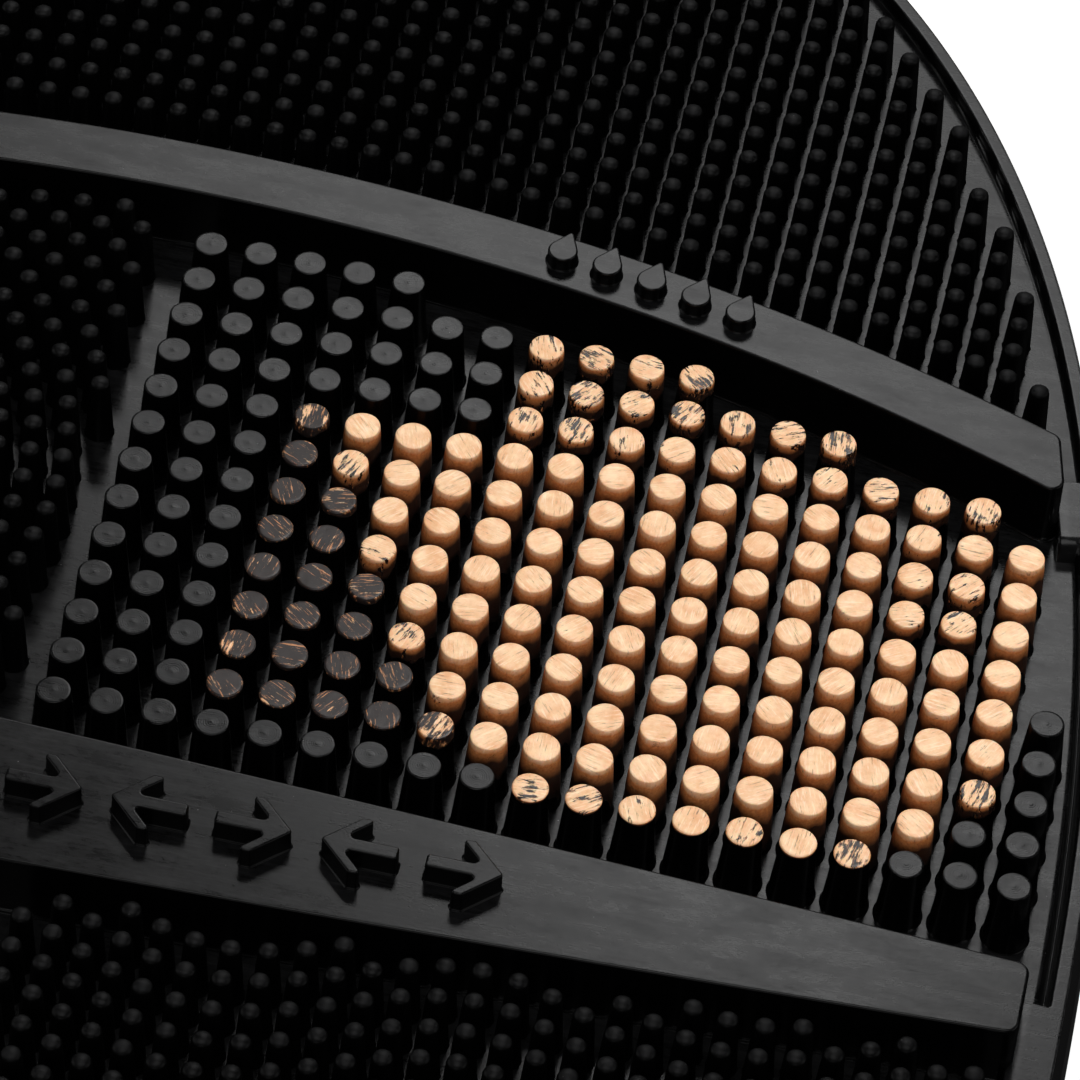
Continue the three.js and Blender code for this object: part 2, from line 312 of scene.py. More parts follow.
class Shader:
    """A material's node tree, with one short call for each node."""

    def __init__(self, name):
        self.material = bpy.data.materials.new(name)
        self.material.use_nodes = True
        self.tree = self.material.node_tree
        self.tree.nodes.clear()
        self.place = self.node("TexCoord").outputs["Object"]

    def node(self, kind, inputs=None, **settings):
        node = self.tree.nodes.new("ShaderNode" + kind)
        for key, value in settings.items():
            setattr(node, key, value)
        for key, value in (inputs or {}).items():
            if isinstance(value, bpy.types.NodeSocket):
                self.tree.links.new(value, node.inputs[key])
            else:
                node.inputs[key].default_value = value
        return node

    def math(self, operation, a, b=0.0, c=0.0):
        node = self.node("Math", {0: a, 1: b, 2: c}, operation=operation)
        return node.outputs[0]

    def stretch(self, scale, vector=None):
        node = self.node("Mapping", {"Vector": vector or self.place, "Scale": scale})
        return node.outputs[0]

    def noise(self, scale, detail=2.0, vector=None, roughness=0.5):
        inputs = {"Vector": vector or self.place, "Scale": scale, "Detail": detail}
        inputs["Roughness"] = roughness
        return self.node("TexNoise", inputs).outputs[0]

    def remap(self, value, low, high, to_low=0.0, to_high=1.0):
        inputs = {"Value": value, 1: low, 2: high, 3: to_low, 4: to_high}
        return self.node("MapRange", inputs, clamp=True).outputs[0]

    def blend(self, share, first, second):
        node = self.node("Mix", {0: share}, data_type="RGBA")
        for socket, value in ((node.inputs[6], first), (node.inputs[7], second)):
            if isinstance(value, bpy.types.NodeSocket):
                self.tree.links.new(value, socket)
            else:
                socket.default_value = (*value, 1.0)
        return node.outputs[2]

    def specks(self, scale, radius, share):
        """Small round specks in a share of the cells: 1 on a speck and 0 elsewhere."""
        cells = self.node("TexVoronoi", {"Vector": self.place, "Scale": scale})
        near = self.remap(cells.outputs["Distance"], radius * 0.5, radius, 1.0, 0.0)
        pick = self.node("SeparateColor", {"Color": cells.outputs["Color"]}).outputs[0]
        return self.math("MULTIPLY", near, self.math("LESS_THAN", pick, share))

    def bump(self, height, distance, strength=1.0, normal=None):
        inputs = {"Height": height, "Distance": distance, "Strength": strength}
        if normal:
            inputs["Normal"] = normal
        return self.node("Bump", inputs).outputs[0]

    def finish(self, surface):
        output = self.node("OutputMaterial", {"Surface": surface})
        output.is_active_output = True
        return self.material


def silicone(name, swirl=False, rough=0.11, shine=0.5):
    """Black satin silicone: fine grain, faint streaks and a little dust.

    The tops of the large pins have a turned swirl.
    """
    s = Shader(name)
    cloud = s.remap(s.noise(1.0, 4.0, s.stretch((240, 800, 800)), 0.6), 0.30, 0.70)
    mottle = s.remap(s.noise(1.0, 4.0, s.stretch((1700, 4200, 4200)), 0.7), 0.32, 0.68)
    grain = s.noise(9000, 2.0)
    streaks = s.remap(s.noise(1.0, 3.0, s.stretch((260, 5200, 5200)), 0.6), 0.50, 0.75)
    dust = s.math("MAXIMUM", s.specks(1500, 0.07, 0.12), s.specks(420, 0.035, 0.12))
    film = s.math("MULTIPLY_ADD", mottle, 0.35, s.math("MULTIPLY", cloud, 0.65))
    haze = s.math("MULTIPLY_ADD", film, 0.7, s.math("MULTIPLY", streaks, 0.3))
    colour = s.blend(haze, (0.0008, 0.0008, 0.0009), (0.050, 0.050, 0.052))
    colour = s.blend(s.math("MULTIPLY", dust, 0.6), colour, (0.40, 0.40, 0.41))
    # Dust and film lie on what faces up, and the walls stay clean
    facing = s.node("SeparateXYZ", {0: s.node("NewGeometry").outputs["Normal"]}).outputs[2]
    up = s.remap(facing, 0.7, 0.97)
    colour = s.blend(up, (0.0040, 0.0040, 0.0042), colour)
    roughness = s.math("MULTIPLY_ADD", film, 0.14, rough)
    roughness = s.math("MULTIPLY_ADD", grain, 0.04, roughness)
    height = s.math("MULTIPLY_ADD", streaks, 0.12, s.math("MULTIPLY", grain, 0.6))
    normal = s.bump(height, 0.005 * MM)
    if swirl:
        place = s.node("Attribute", attribute_name="local").outputs["Vector"]
        flat = s.stretch((1, 1, 0), place)
        radius = s.node("VectorMath", {0: flat}, operation="LENGTH").outputs["Value"]
        wobble = s.noise(1.5, 2.0, place)
        turns = s.math("MULTIPLY_ADD", radius, 44.0, s.math("MULTIPLY", wobble, 9.0))
        rings = s.math("SINE", turns)
        normal = s.bump(rings, 0.0009 * MM, 1.0, normal)
    surface = {"Base Color": colour, "Roughness": roughness, "Normal": normal}
    shader = s.node("BsdfPrincipled", surface)
    shader.inputs["IOR"].default_value = 1.45
    shader.inputs["Specular IOR Level"].default_value = shine
    return s.finish(shader.outputs[0])


def cream():
    """Dried make-up on the pins, broken by streaks. Its pale top and darker, more orange sides are painted
    light and shade, and it grows darker towards the bottom.
    """
    s = Shader("cream_residue")
    place = s.node("Attribute", attribute_name="local").outputs["Vector"]
    depth = s.node("Attribute", attribute_name="depth").outputs["Fac"]
    amount = s.node("Attribute", attribute_name="coat").outputs["Fac"]
    mottle = s.noise(0.9, 4.0, place, 0.6)
    fine = s.noise(6.0, 3.0, place)
    strokes = s.noise(1.0, 4.0, s.stretch((0.7, 4.2, 1.2), place), 0.65)
    scratches = s.noise(1.0, 4.0, s.stretch((0.6, 7.0, 1.6), place), 0.75)
    # Painted light: the pale top colour is the make-up as lit from above
    top = s.blend(s.remap(mottle, 0.3, 0.7), (0.78, 0.41, 0.20), (0.95, 0.67, 0.42))
    lines = s.remap(scratches, 0.54, 0.64)
    top = s.blend(s.math("MULTIPLY", lines, 0.6), top, (0.98, 0.80, 0.58))
    # Painted shade: the sides take a darker, more orange copy of the top colour
    side = s.blend(s.remap(fine, 0.3, 0.7), (0.42, 0.125, 0.035), (0.64, 0.24, 0.075))
    share = s.remap(depth, 0.0, 0.14)
    body = s.blend(share, top, side)
    # Darker towards the bottom of the sides
    deep = s.remap(depth, 0.12, 0.48)
    body = s.blend(deep, body, (0.022, 0.008, 0.004))
    # Where the coat is thin, only streaks of it are left on a film of brown
    patch = s.math("MULTIPLY_ADD", strokes, 0.55, s.math("MULTIPLY", mottle, 0.45))
    thin = s.remap(amount, 0.1, 0.95, 0.38, 0.68)
    worn = s.remap(s.math("SUBTRACT", patch, thin), -0.02, 0.02)
    crack = s.remap(scratches, 0.40, 0.34)
    bare = s.math("MAXIMUM", worn, s.math("MULTIPLY", crack, s.remap(amount, 0.5, 1.0, 0.7, 0.45)))
    flecks = s.remap(scratches, 0.585, 0.62)
    film = s.blend(s.math("MULTIPLY", flecks, 0.8), (0.012, 0.007, 0.006), (0.62, 0.27, 0.11))
    colour = s.blend(bare, body, film)
    height = s.math("MULTIPLY_ADD", bare, -1.0, s.math("MULTIPLY", fine, 0.4))
    height = s.math("MULTIPLY_ADD", strokes, 0.5, height)
    normal = s.bump(height, 0.03 * MM, 0.8)
    roughness = s.remap(mottle, 0.3, 0.7, 0.34, 0.55)
    # The silicone shows through where a thick coat is broken
    clean = s.math("MULTIPLY", bare, s.remap(amount, 0.3, 0.5))
    roughness = s.math("MULTIPLY_ADD", clean, s.math("SUBTRACT", 0.16, roughness), roughness)
    surface = {"Base Color": colour, "Roughness": roughness, "Normal": normal}
    shader = s.node("BsdfPrincipled", surface)
    shader.inputs["Subsurface Weight"].default_value = 0.25
    shader.inputs["Subsurface Radius"].default_value = (1.0, 0.35, 0.15)
    shader.inputs["Subsurface Scale"].default_value = 0.35 * MM
    return s.finish(shader.outputs[0])


def tray_plastic():
    """Black moulded plastic with a fine spark-eroded grain and light scuffs."""
    s = Shader("black_tray_plastic")
    grain = s.noise(2600, 3.0, roughness=0.6)
    cloud = s.noise(90, 3.0)
    scuffs = s.remap(s.noise(1.0, 3.0, s.stretch((900, 120, 3000)), 0.6), 0.6, 0.75)
    colour = s.blend(s.remap(cloud, 0.3, 0.7), (0.0055, 0.0055, 0.0058), (0.010, 0.010, 0.0105))
    colour = s.blend(s.math("MULTIPLY", scuffs, 0.3), colour, (0.05, 0.05, 0.052))
    roughness = s.math("MULTIPLY_ADD", grain, 0.22, 0.28)
    normal = s.bump(grain, 0.02 * MM, 0.8)
    surface = {"Base Color": colour, "Roughness": roughness, "Normal": normal}
    return s.finish(s.node("BsdfPrincipled", surface).outputs[0])


def foot_rubber():
    """Matt dark rubber with a soft grain and dust in its face."""
    s = Shader("foot_rubber")
    grain = s.noise(3800, 3.0, roughness=0.7)
    wear = s.remap(s.noise(500, 3.0), 0.45, 0.75)
    colour = s.blend(wear, (0.012, 0.012, 0.0125), (0.045, 0.044, 0.043))
    colour = s.blend(s.math("MULTIPLY", s.specks(900, 0.1, 0.2), 0.5), colour, (0.2, 0.19, 0.18))
    roughness = s.remap(grain, 0.3, 0.7, 0.68, 0.92)
    surface = {"Base Color": colour, "Roughness": roughness, "Normal": s.bump(grain, 0.03 * MM)}
    return s.finish(s.node("BsdfPrincipled", surface).outputs[0])


def floor_paint():
    s = Shader("pale_floor")
    cloud = s.noise(6.0, 2.0)
    colour = s.blend(cloud, (0.88, 0.88, 0.88), (0.92, 0.92, 0.92))
    surface = {"Base Color": colour}
    shader = s.node("BsdfPrincipled", surface)
    shader.inputs["Roughness"].default_value = 0.9
    shader.inputs["Emission Color"].default_value = (1.0, 1.0, 1.0, 1.0)
    shader.inputs["Emission Strength"].default_value = 0.95
    return s.finish(shader.outputs[0])


# ---------------------------------------------------------------- the pad


def pad_moulding(material):
    """The plug that sits in the tray, the rim, the groove inside it and the floor between the pins."""
    plug = -TRAY_WALL - PLUG_GAP
    groove_end = -RIM_WIDTH - GROOVE_WIDTH
    section = [(-12 * MM, TRAY_FLOOR), (plug - 1.2 * MM, TRAY_FLOOR), (plug - 0.3 * MM, TRAY_FLOOR)]
    section += [(plug - 0.08 * MM, TRAY_FLOOR + 0.08 * MM), (plug, TRAY_FLOOR + 0.3 * MM)]
    section += [(plug, TRAY_TOP - 0.1 * MM), (plug + 0.1 * MM, TRAY_TOP)]
    section += [(LIP - 0.3 * MM, TRAY_TOP), (LIP - 0.08 * MM, TRAY_TOP + 0.06 * MM)]
    section += [(LIP, TRAY_TOP + 0.25 * MM), (LIP * 0.6, TRAY_TOP + 0.4 * MM)]
    for inwards, below in quarter(0.13 * MM, 6):
        section.append((-RIM_LEAN - inwards, RIM_TOP - below))
    section += [(-RIM_LEAN - 0.2 * MM, RIM_TOP), (0.25 * MM - RIM_WIDTH, RIM_TOP)]
    inside = len(section)
    for inwards, below in reversed(quarter(0.14 * MM)):
        section.append((inwards - RIM_WIDTH, RIM_TOP - below))
    groove = len(section)
    section += [(-RIM_WIDTH - 0.02 * MM, FLOOR), (-RIM_WIDTH - 0.30 * MM, FLOOR)]
    section += [(-RIM_WIDTH - 0.36 * MM, FLOOR), (groove_end + 0.02 * MM, FLOOR)]
    strip = len(section)
    section += [(groove_end, FLOOR), (groove_end - 0.08 * MM, FLOOR)]
    block = -ARC_INSET - 0.1 * MM
    section += [(groove_end - 0.3 * MM, FLOOR), (block + 0.2 * MM, FLOOR)]
    block_edge = len(section)
    section += [(block + 0.06 * MM, FLOOR), (block, FLOOR), (block - 0.02 * MM, FLOOR)]
    beyond = len(section)
    section += [(block - 0.1 * MM, FLOOR), (block - 0.2 * MM, FLOOR)]
    section += [(block - 0.5 * MM, FLOOR), (-11 * MM, FLOOR)]
    turns = pad_turns()
    grid = sweep(section, turns)
    heights = grid[:, :, 2]
    side = grid[inside, :, 1] * np.sign(grid[inside, :, 0])
    # The groove runs beside the side fields only
    grooved = np.abs(side) < bridge_spans()[1][0] + 0.5 * MM
    heights[groove:strip] -= np.array([0.5, 1, 1, 0.4])[:, None] * GROOVE_DEPTH * grooved
    heights[strip] -= 0.04 * MM * grooved
    # Each block between the rim and the end of a band is as high as the rim, with rounded edges
    share = bridge_share(side)
    rise = np.ones((beyond - inside, 1))
    rise[block_edge - inside :, 0] = (0.98, 0.9, 0.06)
    heights[inside:beyond] += share * rise * (RIM_TOP - heights[inside:beyond])
    shape = Shape()
    add_sweep(shape, grid)
    return shape.build("pad_moulding", material, "pad", "silicone", "pad_base")


def bridge_spans():
    """Where the blocks between the rim and the ends of the bands begin and end along Y, at the right.

    The left side is the right side turned by half a turn.
    """
    x = 0.9 * HALF_WIDTH
    for _ in range(20):
        x = width_at(arc_upper(x), ARC_INSET)
    half = float(centre_edge(HALF_WIDTH - CENTRE_INSET)) - 0.1 * MM
    low, high = float(arc_lower(x)) - LEDGE, float(arc_upper(x)) - 0.2 * MM
    return [(-half - LEDGE, half), (low, high), (-high, -low)]


def bridge_share(side):
    """How much of a block's height there is at a place along Y, at the right."""
    share = np.zeros(len(side))
    for low, high in bridge_spans():
        past = np.maximum(low - side, side - high) / MM
        block = np.interp(past, (-0.06, 0, 0.06, 0.1, 0.16), (1, 0.98, 0.9, 0.06, 0))
        share = np.maximum(share, block)
    return share


def pad_turns():
    """Even turns round the oval, and close ones at the ends of each block."""
    turns = list(np.arange(SWEEP_STEPS) * 2 * math.pi / SWEEP_STEPS)
    for low, high in bridge_spans():
        for past in (-0.3, -0.06, 0, 0.06, 0.1, 0.16, 0.4):
            for y in (low - past * MM, high + past * MM):
                turns += [turn_at(y), turn_at(y) + math.pi]
    return np.unique(np.round(np.mod(turns, 2 * math.pi), 7))


def arrow_outline(x, direction):
    """An arrow along X, with a barbed head."""
    half, length, stroke = 0.65 * PITCH, 0.725 * PITCH, 0.15 * PITCH
    barb = length - half
    corners = [(length, 0), (barb, half), (barb - 2 * stroke, half)]
    corners += [(barb - 3 * stroke + half, stroke), (-length, stroke), (-length, -stroke)]
    corners += [(barb - 3 * stroke + half, -stroke), (barb - 2 * stroke, -half), (barb, -half)]
    points = np.array(corners) * direction + (x, 0)
    return round_corners(list(points), range(len(points)), 0.22 * MM, 5)


def drop_outline(x):
    """A drop that points away from the middle of the pad."""
    radius, tip = 0.3 * PITCH, 0.6 * PITCH
    turns = np.linspace(math.pi - 0.45, 2 * math.pi + 0.45, 20)
    points = np.concatenate([[(0, tip)], radius * np.column_stack([np.cos(turns), np.sin(turns)])])
    lean = -math.asin(x / ARC_INNER)
    spin = np.array([[math.cos(lean), math.sin(lean)], [-math.sin(lean), math.cos(lean)]])
    points = points @ spin + (x, (arc_upper(x) + arc_lower(x)) / 2)
    return round_corners(list(points), [0], 0.22 * MM, 6)


def band(name, upper, lower, inset, marks, mark_top, spin, material):
    """A raised band with a row of marks on its top. A spin of -1 turns it by half a turn."""
    shape = Shape()
    outlines = [(band_outline(upper, lower, inset), FLOOR, PIN_TOP, 0.16 * MM, 0.25 * MM)]
    outlines += [(mark, PIN_TOP, mark_top, 0.12 * MM, 0.12 * MM) for mark in marks]
    for outline, low, high, bevel, flare in outlines:
        add_prism(shape, outline * spin, low, high, bevel, flare, 0.012)
    return shape.build(name, material, "pad", "silicone", name)


def bands(material):
    arrows = []
    for i in range(5):
        arrow = arrow_outline((1.3 + 1.95 * i) * PITCH, -1 if i % 2 else 1)
        arrows += [arrow, -arrow]
    drops = [drop_outline((7.6 + 0.93 * i) * PITCH) for i in range(5)]
    band("centre_band", centre_edge, centre_lower, CENTRE_INSET, arrows, ARROW_TOP, 1, material)
    band("upper_arc_band", arc_upper, arc_lower, ARC_INSET, drops, DROP_TOP, 1, material)
    band("lower_arc_band", arc_upper, arc_lower, ARC_INSET, drops, DROP_TOP, -1, material)


# ---------------------------------------------------------------- pins


def large_places():
    """The centres of one field's large pins, with each pin's column and row."""
    places = []
    for column in range(20):
        x = FIRST_COLUMN + column * PITCH
        for row in range(20):
            y = FIRST_ROW + row * PITCH
            if y < arc_lower(x) - PIN_TO_BAND and inside_oval(x, y, PIN_TO_EDGE):
                places.append((x, y, column, row))
    return places


def large_pin_section():
    """A small fillet, a tapered side, a rounded edge, and a nib in the middle of the top."""
    section = [(PIN_FOOT + 0.1 * MM, FLOOR - 0.15 * MM)]
    for turn in np.linspace(0, math.pi / 2, 4):
        outwards = 0.1 * MM * (1 - math.sin(turn))
        section.append((PIN_FOOT + outwards, FLOOR + 0.1 * MM * (1 - math.cos(turn))))
    for inwards, below in quarter(0.06 * MM, 4):
        section.append((PIN_RADIUS - inwards, PIN_TOP - below))
    for radius, below in ((0.9, 0.0), (0.5, 0.004), (0.15, 0.004), (0.1, 0.001), (0.04, -0.002)):
        section.append((radius * MM, PIN_TOP - below * MM))
    return section


def large_pins(name, spin, material, steps=32):
    """A field of large pins. Each point keeps its place on its own pin, for the turned swirl."""
    shape = Shape()
    section = large_pin_section()
    turns = np.arange(steps) * 2 * math.pi / steps
    for x, y, column, row in large_places():
        local = np.zeros((len(section), steps, 3))
        radii = np.array([radius for radius, z in section])[:, None] / MM
        local[:, :, 0] = radii * np.cos(turns)
        local[:, :, 1] = radii * np.sin(turns)
        local[:, :, 2] = (column * 7 + row * 13) % 31
        add_lathe(shape, section, steps, (x * spin, y * spin), local=local.reshape(-1, 3))
    return shape.build(name, material, "pad", "silicone", name)


def coat_amount(column, row):
    """How much make-up lies on a large pin: all over where the brush was worked, none at the edges."""
    if row == 0:
        streaked = {9: 0.5, 10: 0.5, 11: 0.72, 12: 0.8, 13: 0.6, 14: 0.8, 15: 0.42}
        return streaked.get(column, 0)
    if column >= 17:
        return {1: 0, 2: 0.6, 3: 0.8}.get(row, 1) if column == 17 else 0
    if column < 3 or row > 11:
        return 0
    if row >= 9:
        return 0.64 - 0.06 * (row - 9) if 7 <= column else 0
    if column >= 15 and row >= 6:
        return 0.7
    # The edge of the worked patch leans from the first rows to the left
    left = 7.5 - 0.55 * row
    return min(max(0.12 + 0.5 * (column - left + 0.6), 0.12), 1) if column > left - 4.8 else 0


def residue(material, steps=32):
    """A lumpy skin of make-up over the top and down the sides of the pins that the brush touched."""
    shape = Shape()
    rng = np.random.default_rng(7)
    turns = np.arange(steps) * 2 * math.pi / steps
    for x, y, column, row in large_places():
        amount = coat_amount(column, row)
        phases = rng.uniform(0, 2 * math.pi, 6)
        sizes = rng.uniform(0.5, 1.0, 3)
        jitter = rng.uniform(-0.1, 0.1)
        seed = rng.uniform(0, 40, 3)
        if amount <= 0:
            continue
        amount = min(max(amount + jitter * (0.2 < amount < 1), 0.1), 1)
        wave = sizes[0] * np.sin(turns + phases[0]) + 0.6 * sizes[1] * np.sin(2 * turns + phases[1])
        wave += 0.5 * sizes[2] * np.sin(5 * turns + phases[2])
        wave += 0.35 * np.maximum(np.sin(9 * turns + phases[3]), 0)
        thick = (0.01 + 0.05 * amount) * MM
        reach = 3.2 * amount**1.5 if row else 0.1
        length = np.minimum((0.15 + reach) * (1 + 0.25 * wave), 4.5) * MM
        lump = 0.25 * np.sin(3 * turns + phases[3]) + 0.2 * np.sin(4 * turns + phases[4])
        slope = (PIN_FOOT - PIN_RADIUS) / (PIN_TOP - FLOOR)
        rows = [(PIN_RADIUS * 0.8 + slope * length, PIN_TOP - length, 1.0)]
        for share in (1.0, 0.8, 0.6, 0.4, 0.22):
            swell = thick * (1 - share) ** 0.5 * (1 + 0.5 * lump) + 0.012 * MM * (share < 1)
            wall = PIN_RADIUS + slope * length * share
            rows.append((wall + swell + 0.01 * MM * share, PIN_TOP - length * share, share))
        edge = 0.09 * MM
        for inwards, below in quarter(edge, 5):
            radius = PIN_RADIUS + thick * (0.9 + 0.5 * lump) - inwards
            rows.append((radius, PIN_TOP + thick * 0.7 - below, 0.02))
        for share in (0.8, 0.55, 0.3, 0.08):
            dip = 0.012 * MM * np.sin(3 * turns * (share > 0.3) + phases[5]) * share
            rows.append((np.full(steps, PIN_RADIUS * share), PIN_TOP + thick * 0.7 + dip, 0.0))
        # Each pin's own place in the texture: turned and shifted, so that no two are alike
        spin = phases[5]
        points, local, depths = [], [], []
        for radius, z, depth in rows:
            place = np.empty((steps, 3))
            place[:, 0] = radius * np.cos(turns)
            place[:, 1] = radius * np.sin(turns)
            place[:, 2] = z
            points.append(place + (x, y, 0))
            turned = place.copy()
            turned[:, 0] = math.cos(spin) * place[:, 0] - math.sin(spin) * place[:, 1]
            turned[:, 1] = math.sin(spin) * place[:, 0] + math.cos(spin) * place[:, 1]
            local.append(turned / MM + seed)
            depths.append(np.full(steps, depth))
        values = {"local": np.concatenate(local), "depth": np.concatenate(depths)}
        values["coat"] = np.full(steps * len(rows), amount)
        shape.add(np.concatenate(points), ring_faces(len(rows), steps), **values)
    return shape.build("make_up_residue", material, "pad", "residue")


def thin_pin_section():
    """A small fillet, a stout tapered side, and a domed top."""
    base, shoulder = 0.93 * MM, 0.64 * MM
    dome = 0.28 * MM
    section = [(base + 0.06 * MM, FLOOR - 0.1 * MM), (base + 0.06 * MM, FLOOR)]
    section += [(base, FLOOR + 0.08 * MM), (shoulder + 0.02 * MM, PIN_TOP - dome - 0.15 * MM)]
    for turn in np.linspace(0, 0.46 * math.pi, 6):
        section.append((shoulder * math.cos(turn), PIN_TOP - dome + dome * math.sin(turn)))
    return section


def thin_pins(name, places, material, steps=12):
    shape = Shape()
    section = thin_pin_section()
    for place in places:
        add_lathe(shape, section, steps, place)
    return shape.build(name, material, "pad", "silicone", name)


def in_side_field(x, y, to_centre, to_arc):
    """Whether a thin pin has room between the centre band and an arc band."""
    clear = (abs(y) > centre_edge(x) + to_centre) & (abs(y) < arc_lower(x) - to_arc)
    return clear and inside_oval(x, y, THIN_TO_EDGE)


def ring_places():
    """Rings of thin pins round one centre."""
    places = []
    for ring in range(60):
        radius = SMALLEST_RING + ring * RING_PITCH
        count = max(round(2 * math.pi * radius / RING_STEP), 1)
        for step in range(count):
            turn = (step + 0.38) * 2 * math.pi / count
            x = RING_CENTRE[0] + radius * math.cos(turn)
            y = RING_CENTRE[1] + radius * math.sin(turn)
            if not (-HALF_WIDTH < x < -0.35 * PITCH and y > 0):
                continue
            if in_side_field(x, y, 0.5 * PITCH, 0.5 * PITCH):
                places.append((x, y))
    return places


def wave_height(x):
    return WAVE_RISE * math.cos(2 * math.pi * (x - WAVE_CREST) / WAVE_LENGTH)


def wave_columns():
    """Places along X that are evenly spaced along the wave."""
    columns = []
    x = 1.6 * PITCH
    while x < HALF_WIDTH:
        columns.append(x)
        slope = (wave_height(x + 0.2 * MM) - wave_height(x)) / (0.2 * MM)
        x += WAVE_STEP / math.hypot(1, slope)
    return columns


def wave_places():
    """Wavy rows of thin pins, one below the other."""
    places = []
    for x in wave_columns():
        for row in range(-3, 30):
            y = -FIRST_WAVE - row * WAVE_PITCH + wave_height(x)
            if y < 0 and in_side_field(x, y, 0.45 * PITCH, 0.5 * PITCH):
                places.append((x, y))
    return places


def cap_places(spin):
    """Straight columns of thin pins beyond an arc band, in rows that follow the arc."""
    places = []
    for column in range(-45, 30):
        x = COLUMN_PHASE + column * COLUMN_PITCH
        if abs(x) >= HALF_WIDTH:
            continue
        for row in range(40):
            y = arc_upper(x) + 0.9 * PITCH + row * ROW_PITCH
            if inside_oval(x, y, THIN_TO_EDGE):
                places.append((x * spin, y * spin))
    return places


# ---------------------------------------------------------------- tray and feet


def tray(material):
    """A shallow tray: a rounded foot, an outer wall that leans in, a flat ledge and a plain inside."""
    flare = 0.4 * MM
    wall = TRAY_WALL
    section = [(-14 * MM, TRAY_LOW), (-2 * MM, TRAY_LOW), (flare - 0.8 * MM, TRAY_LOW)]
    section += [(flare - 0.45 * MM, TRAY_LOW + 0.05 * MM), (flare - 0.15 * MM, TRAY_LOW + 0.25 * MM)]
    section += [(flare, TRAY_LOW + 0.65 * MM), (flare - 0.01 * MM, TRAY_LOW + 1.0 * MM)]
    section += [(LIP + 0.05 * MM, TRAY_TOP - 0.3 * MM), (LIP, TRAY_TOP - 0.12 * MM)]
    section += [(LIP - 0.2 * MM, TRAY_TOP), (LIP - 0.35 * MM, TRAY_TOP)]
    section += [(0.15 * MM - wall, TRAY_TOP), (0.05 * MM - wall, TRAY_TOP - 0.03 * MM)]
    section += [(-wall, TRAY_TOP - 0.15 * MM), (-wall, TRAY_FLOOR + 0.3 * MM)]
    section += [(-wall - 0.08 * MM, TRAY_FLOOR + 0.08 * MM), (-wall - 0.3 * MM, TRAY_FLOOR)]
    section += [(-wall - 0.6 * MM, TRAY_FLOOR), (-14 * MM, TRAY_FLOOR)]
    shape = Shape()
    add_sweep(shape, sweep(section))
    return shape.build("tray", material, "tray", "tray_plastic", "tray_shell")


def foot(number, material):
    """A round stick-on foot with a rounded edge and a shallow ring in its face."""
    node = f"foot_{number}"
    low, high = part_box(node)
    centre = ((low.x + high.x) / 2, (low.y + high.y) / 2)
    radius = (high.x - low.x) / 2
    section = [(0.4 * MM, low.z + 0.12 * MM), (radius * 0.58, low.z + 0.12 * MM)]
    section += [(radius * 0.62, low.z + 0.02 * MM), (radius * 0.65, low.z)]
    section += [(radius - 0.75 * MM, low.z), (radius - 0.45 * MM, low.z + 0.03 * MM)]
    section += [(radius - 0.15 * MM, low.z + 0.18 * MM), (radius, low.z + 0.5 * MM)]
    section += [(radius, high.z - 0.08 * MM), (radius - 0.08 * MM, high.z), (0.4 * MM, high.z)]
    shape = Shape()
    add_lathe(shape, section, 72, centre)
    return shape.build(f"rubber_{node}", material, "tray", "foot_rubber", node)


# ---------------------------------------------------------------- stage, lights and camera


def stage():
    half = 3.0
    mesh = bpy.data.meshes.new("floor")
    corners = [(-half, -half, 0), (half, -half, 0), (half, half, 0), (-half, half, 0)]
    mesh.from_pydata(corners, [], [(0, 1, 2, 3)])
    mesh.materials.append(floor_paint())
    plane = bpy.data.objects.new("floor", mesh)
    bpy.context.scene.collection.objects.link(plane)
    # A cleared backdrop: it is bright to the eye and throws no light back on the pad
    plane.visible_glossy = False
    plane.visible_diffuse = False


def softbox(name, place, target, size, power, roll=0.0, spread=180.0, only=()):
    """A soft lamp, which can be rolled, narrowed, and flagged off from all but some pieces."""
    light = bpy.data.lights.new(name, "AREA")
    light.shape = "RECTANGLE"
    light.size, light.size_y = size
    light.energy = power
    light.spread = math.radians(spread)
    lamp = bpy.data.objects.new(name, light)
    bpy.context.scene.collection.objects.link(lamp)
    lamp.location = place
    lamp.visible_camera = False
    turn = (Vector(target) - Vector(place)).to_track_quat("-Z", "Y")
    lamp.rotation_euler = (turn @ Quaternion((0, 0, 1), math.radians(roll))).to_euler()
    if only:
        group = bpy.data.collections.new(name + "_lit")
        for piece in only:
            group.objects.link(piece)
        lamp.light_linking.receiver_collection = group


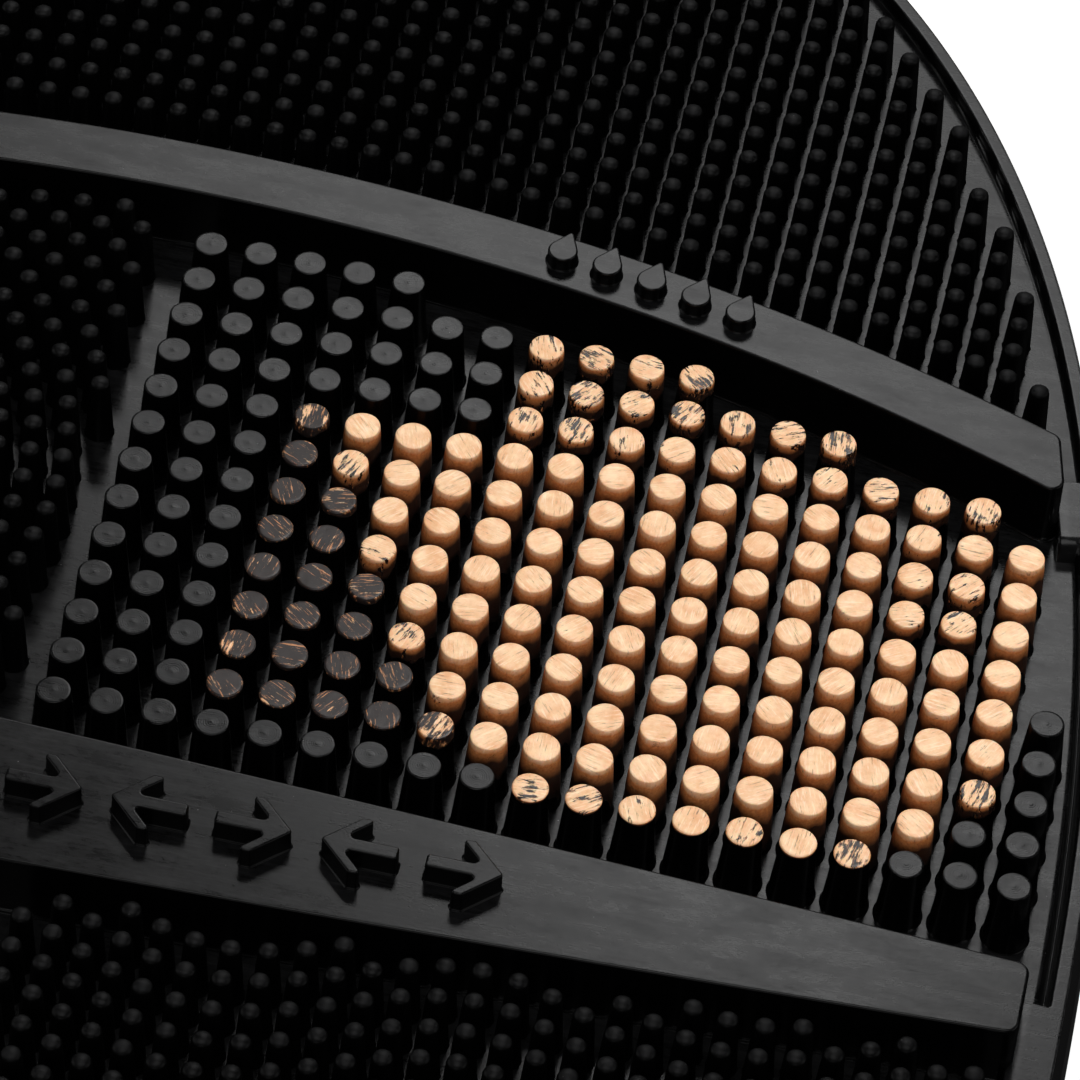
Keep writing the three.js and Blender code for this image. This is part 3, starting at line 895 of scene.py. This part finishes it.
def lights(coated, outside):
    """A narrowed softbox behind the pad draws its tops, and two lamps lift the make-up.

    Dim fills on all sides draw the same tops in views from elsewhere, and low lamps draw
    the outer walls.
    """
    pad = (0.02, 0.02, 0.01)
    softbox("key_softbox", (-0.046, 0.708, 0.679), (0.026, 0.141, -0.08), (0.37, 0.225), 0.062, -46.9, 47.6)
    softbox("back_fill", (0, 1.2, 0.4), pad, (1.2, 0.4), 0.4)
    softbox("front_fill", (0, -1.2, 0.6), pad, (1.2, 0.7), 0.8)
    softbox("left_fill", (-1.2, 0, 0.6), pad, (1.2, 0.7), 1.0)
    softbox("right_fill", (1.2, 0, 0.6), pad, (1.2, 0.7), 1.0)
    softbox("top_fill", (0, 0, 1.3), pad, (0.6, 0.6), 1.3)
    for number, place in enumerate(((0, 1.2), (0, -1.2), (1.2, 0), (-1.2, 0))):
        softbox(f"low_{number}", (*place, 0.22), (0, 0, 0.01), (1.6, 0.4), 5.0, only=outside)
    softbox("coat_top", (0.30, 0.35, 0.90), pad, (0.5, 0.5), 7.6, only=[coated])
    softbox("coat_front", (0.30, -0.70, 0.65), pad, (0.5, 0.4), 4.2, only=[coated])
    world = bpy.data.worlds.new("studio")
    world.use_nodes = True
    world.node_tree.nodes["Background"].inputs[0].default_value = (0.01, 0.01, 0.01, 1)
    bpy.context.scene.world = world


def camera():
    """A long lens from the front and above, turned a little to the right and tilted."""
    azimuth, elevation, roll = (math.radians(a) for a in (-7.723, 47.822, 5.634))
    aim = Vector((28.76, 28.06, 11.0)) * MM
    distance = 375.6 * MM
    forward = Vector((
        math.sin(azimuth) * math.cos(elevation),
        math.cos(azimuth) * math.cos(elevation),
        -math.sin(elevation),
    ))
    level = Vector((math.cos(azimuth), -math.sin(azimuth), 0))
    above = level.cross(forward)
    right = math.cos(roll) * level + math.sin(roll) * above
    up = math.cos(roll) * above - math.sin(roll) * level
    data = bpy.data.cameras.new("camera")
    data.lens = 200
    data.sensor_width = 36
    data.clip_start = 0.01
    eye = bpy.data.objects.new("camera", data)
    bpy.context.scene.collection.objects.link(eye)
    turn = Matrix((right, up, -forward)).transposed().to_4x4()
    eye.matrix_world = Matrix.Translation(aim - distance * forward) @ turn
    bpy.context.scene.camera = eye
    bpy.context.scene.view_settings.view_transform = "Standard"


# ---------------------------------------------------------------- the scene

black_silicone = silicone("black_silicone")
pin_silicone = silicone("black_silicone_pins", swirl=True)
moulding = pad_moulding(black_silicone)
bands(black_silicone)
large_pins("large_pins_right", 1, pin_silicone)
large_pins("large_pins_left", -1, pin_silicone)
coats = residue(cream())
thin_silicone = silicone("black_silicone_thin_pins", rough=0.32, shine=0.35)
thin_pins("ring_pins_left", ring_places(), thin_silicone)
thin_pins("wave_pins_right", wave_places(), thin_silicone)
thin_pins("cap_pins_upper", cap_places(1), thin_silicone)
thin_pins("cap_pins_lower", cap_places(-1), thin_silicone)
outer_tray = tray(tray_plastic())
rubber = foot_rubber()
for number in range(1, 7):
    foot(number, rubber)
stage()
lights(coats, [outer_tray, moulding])
camera()
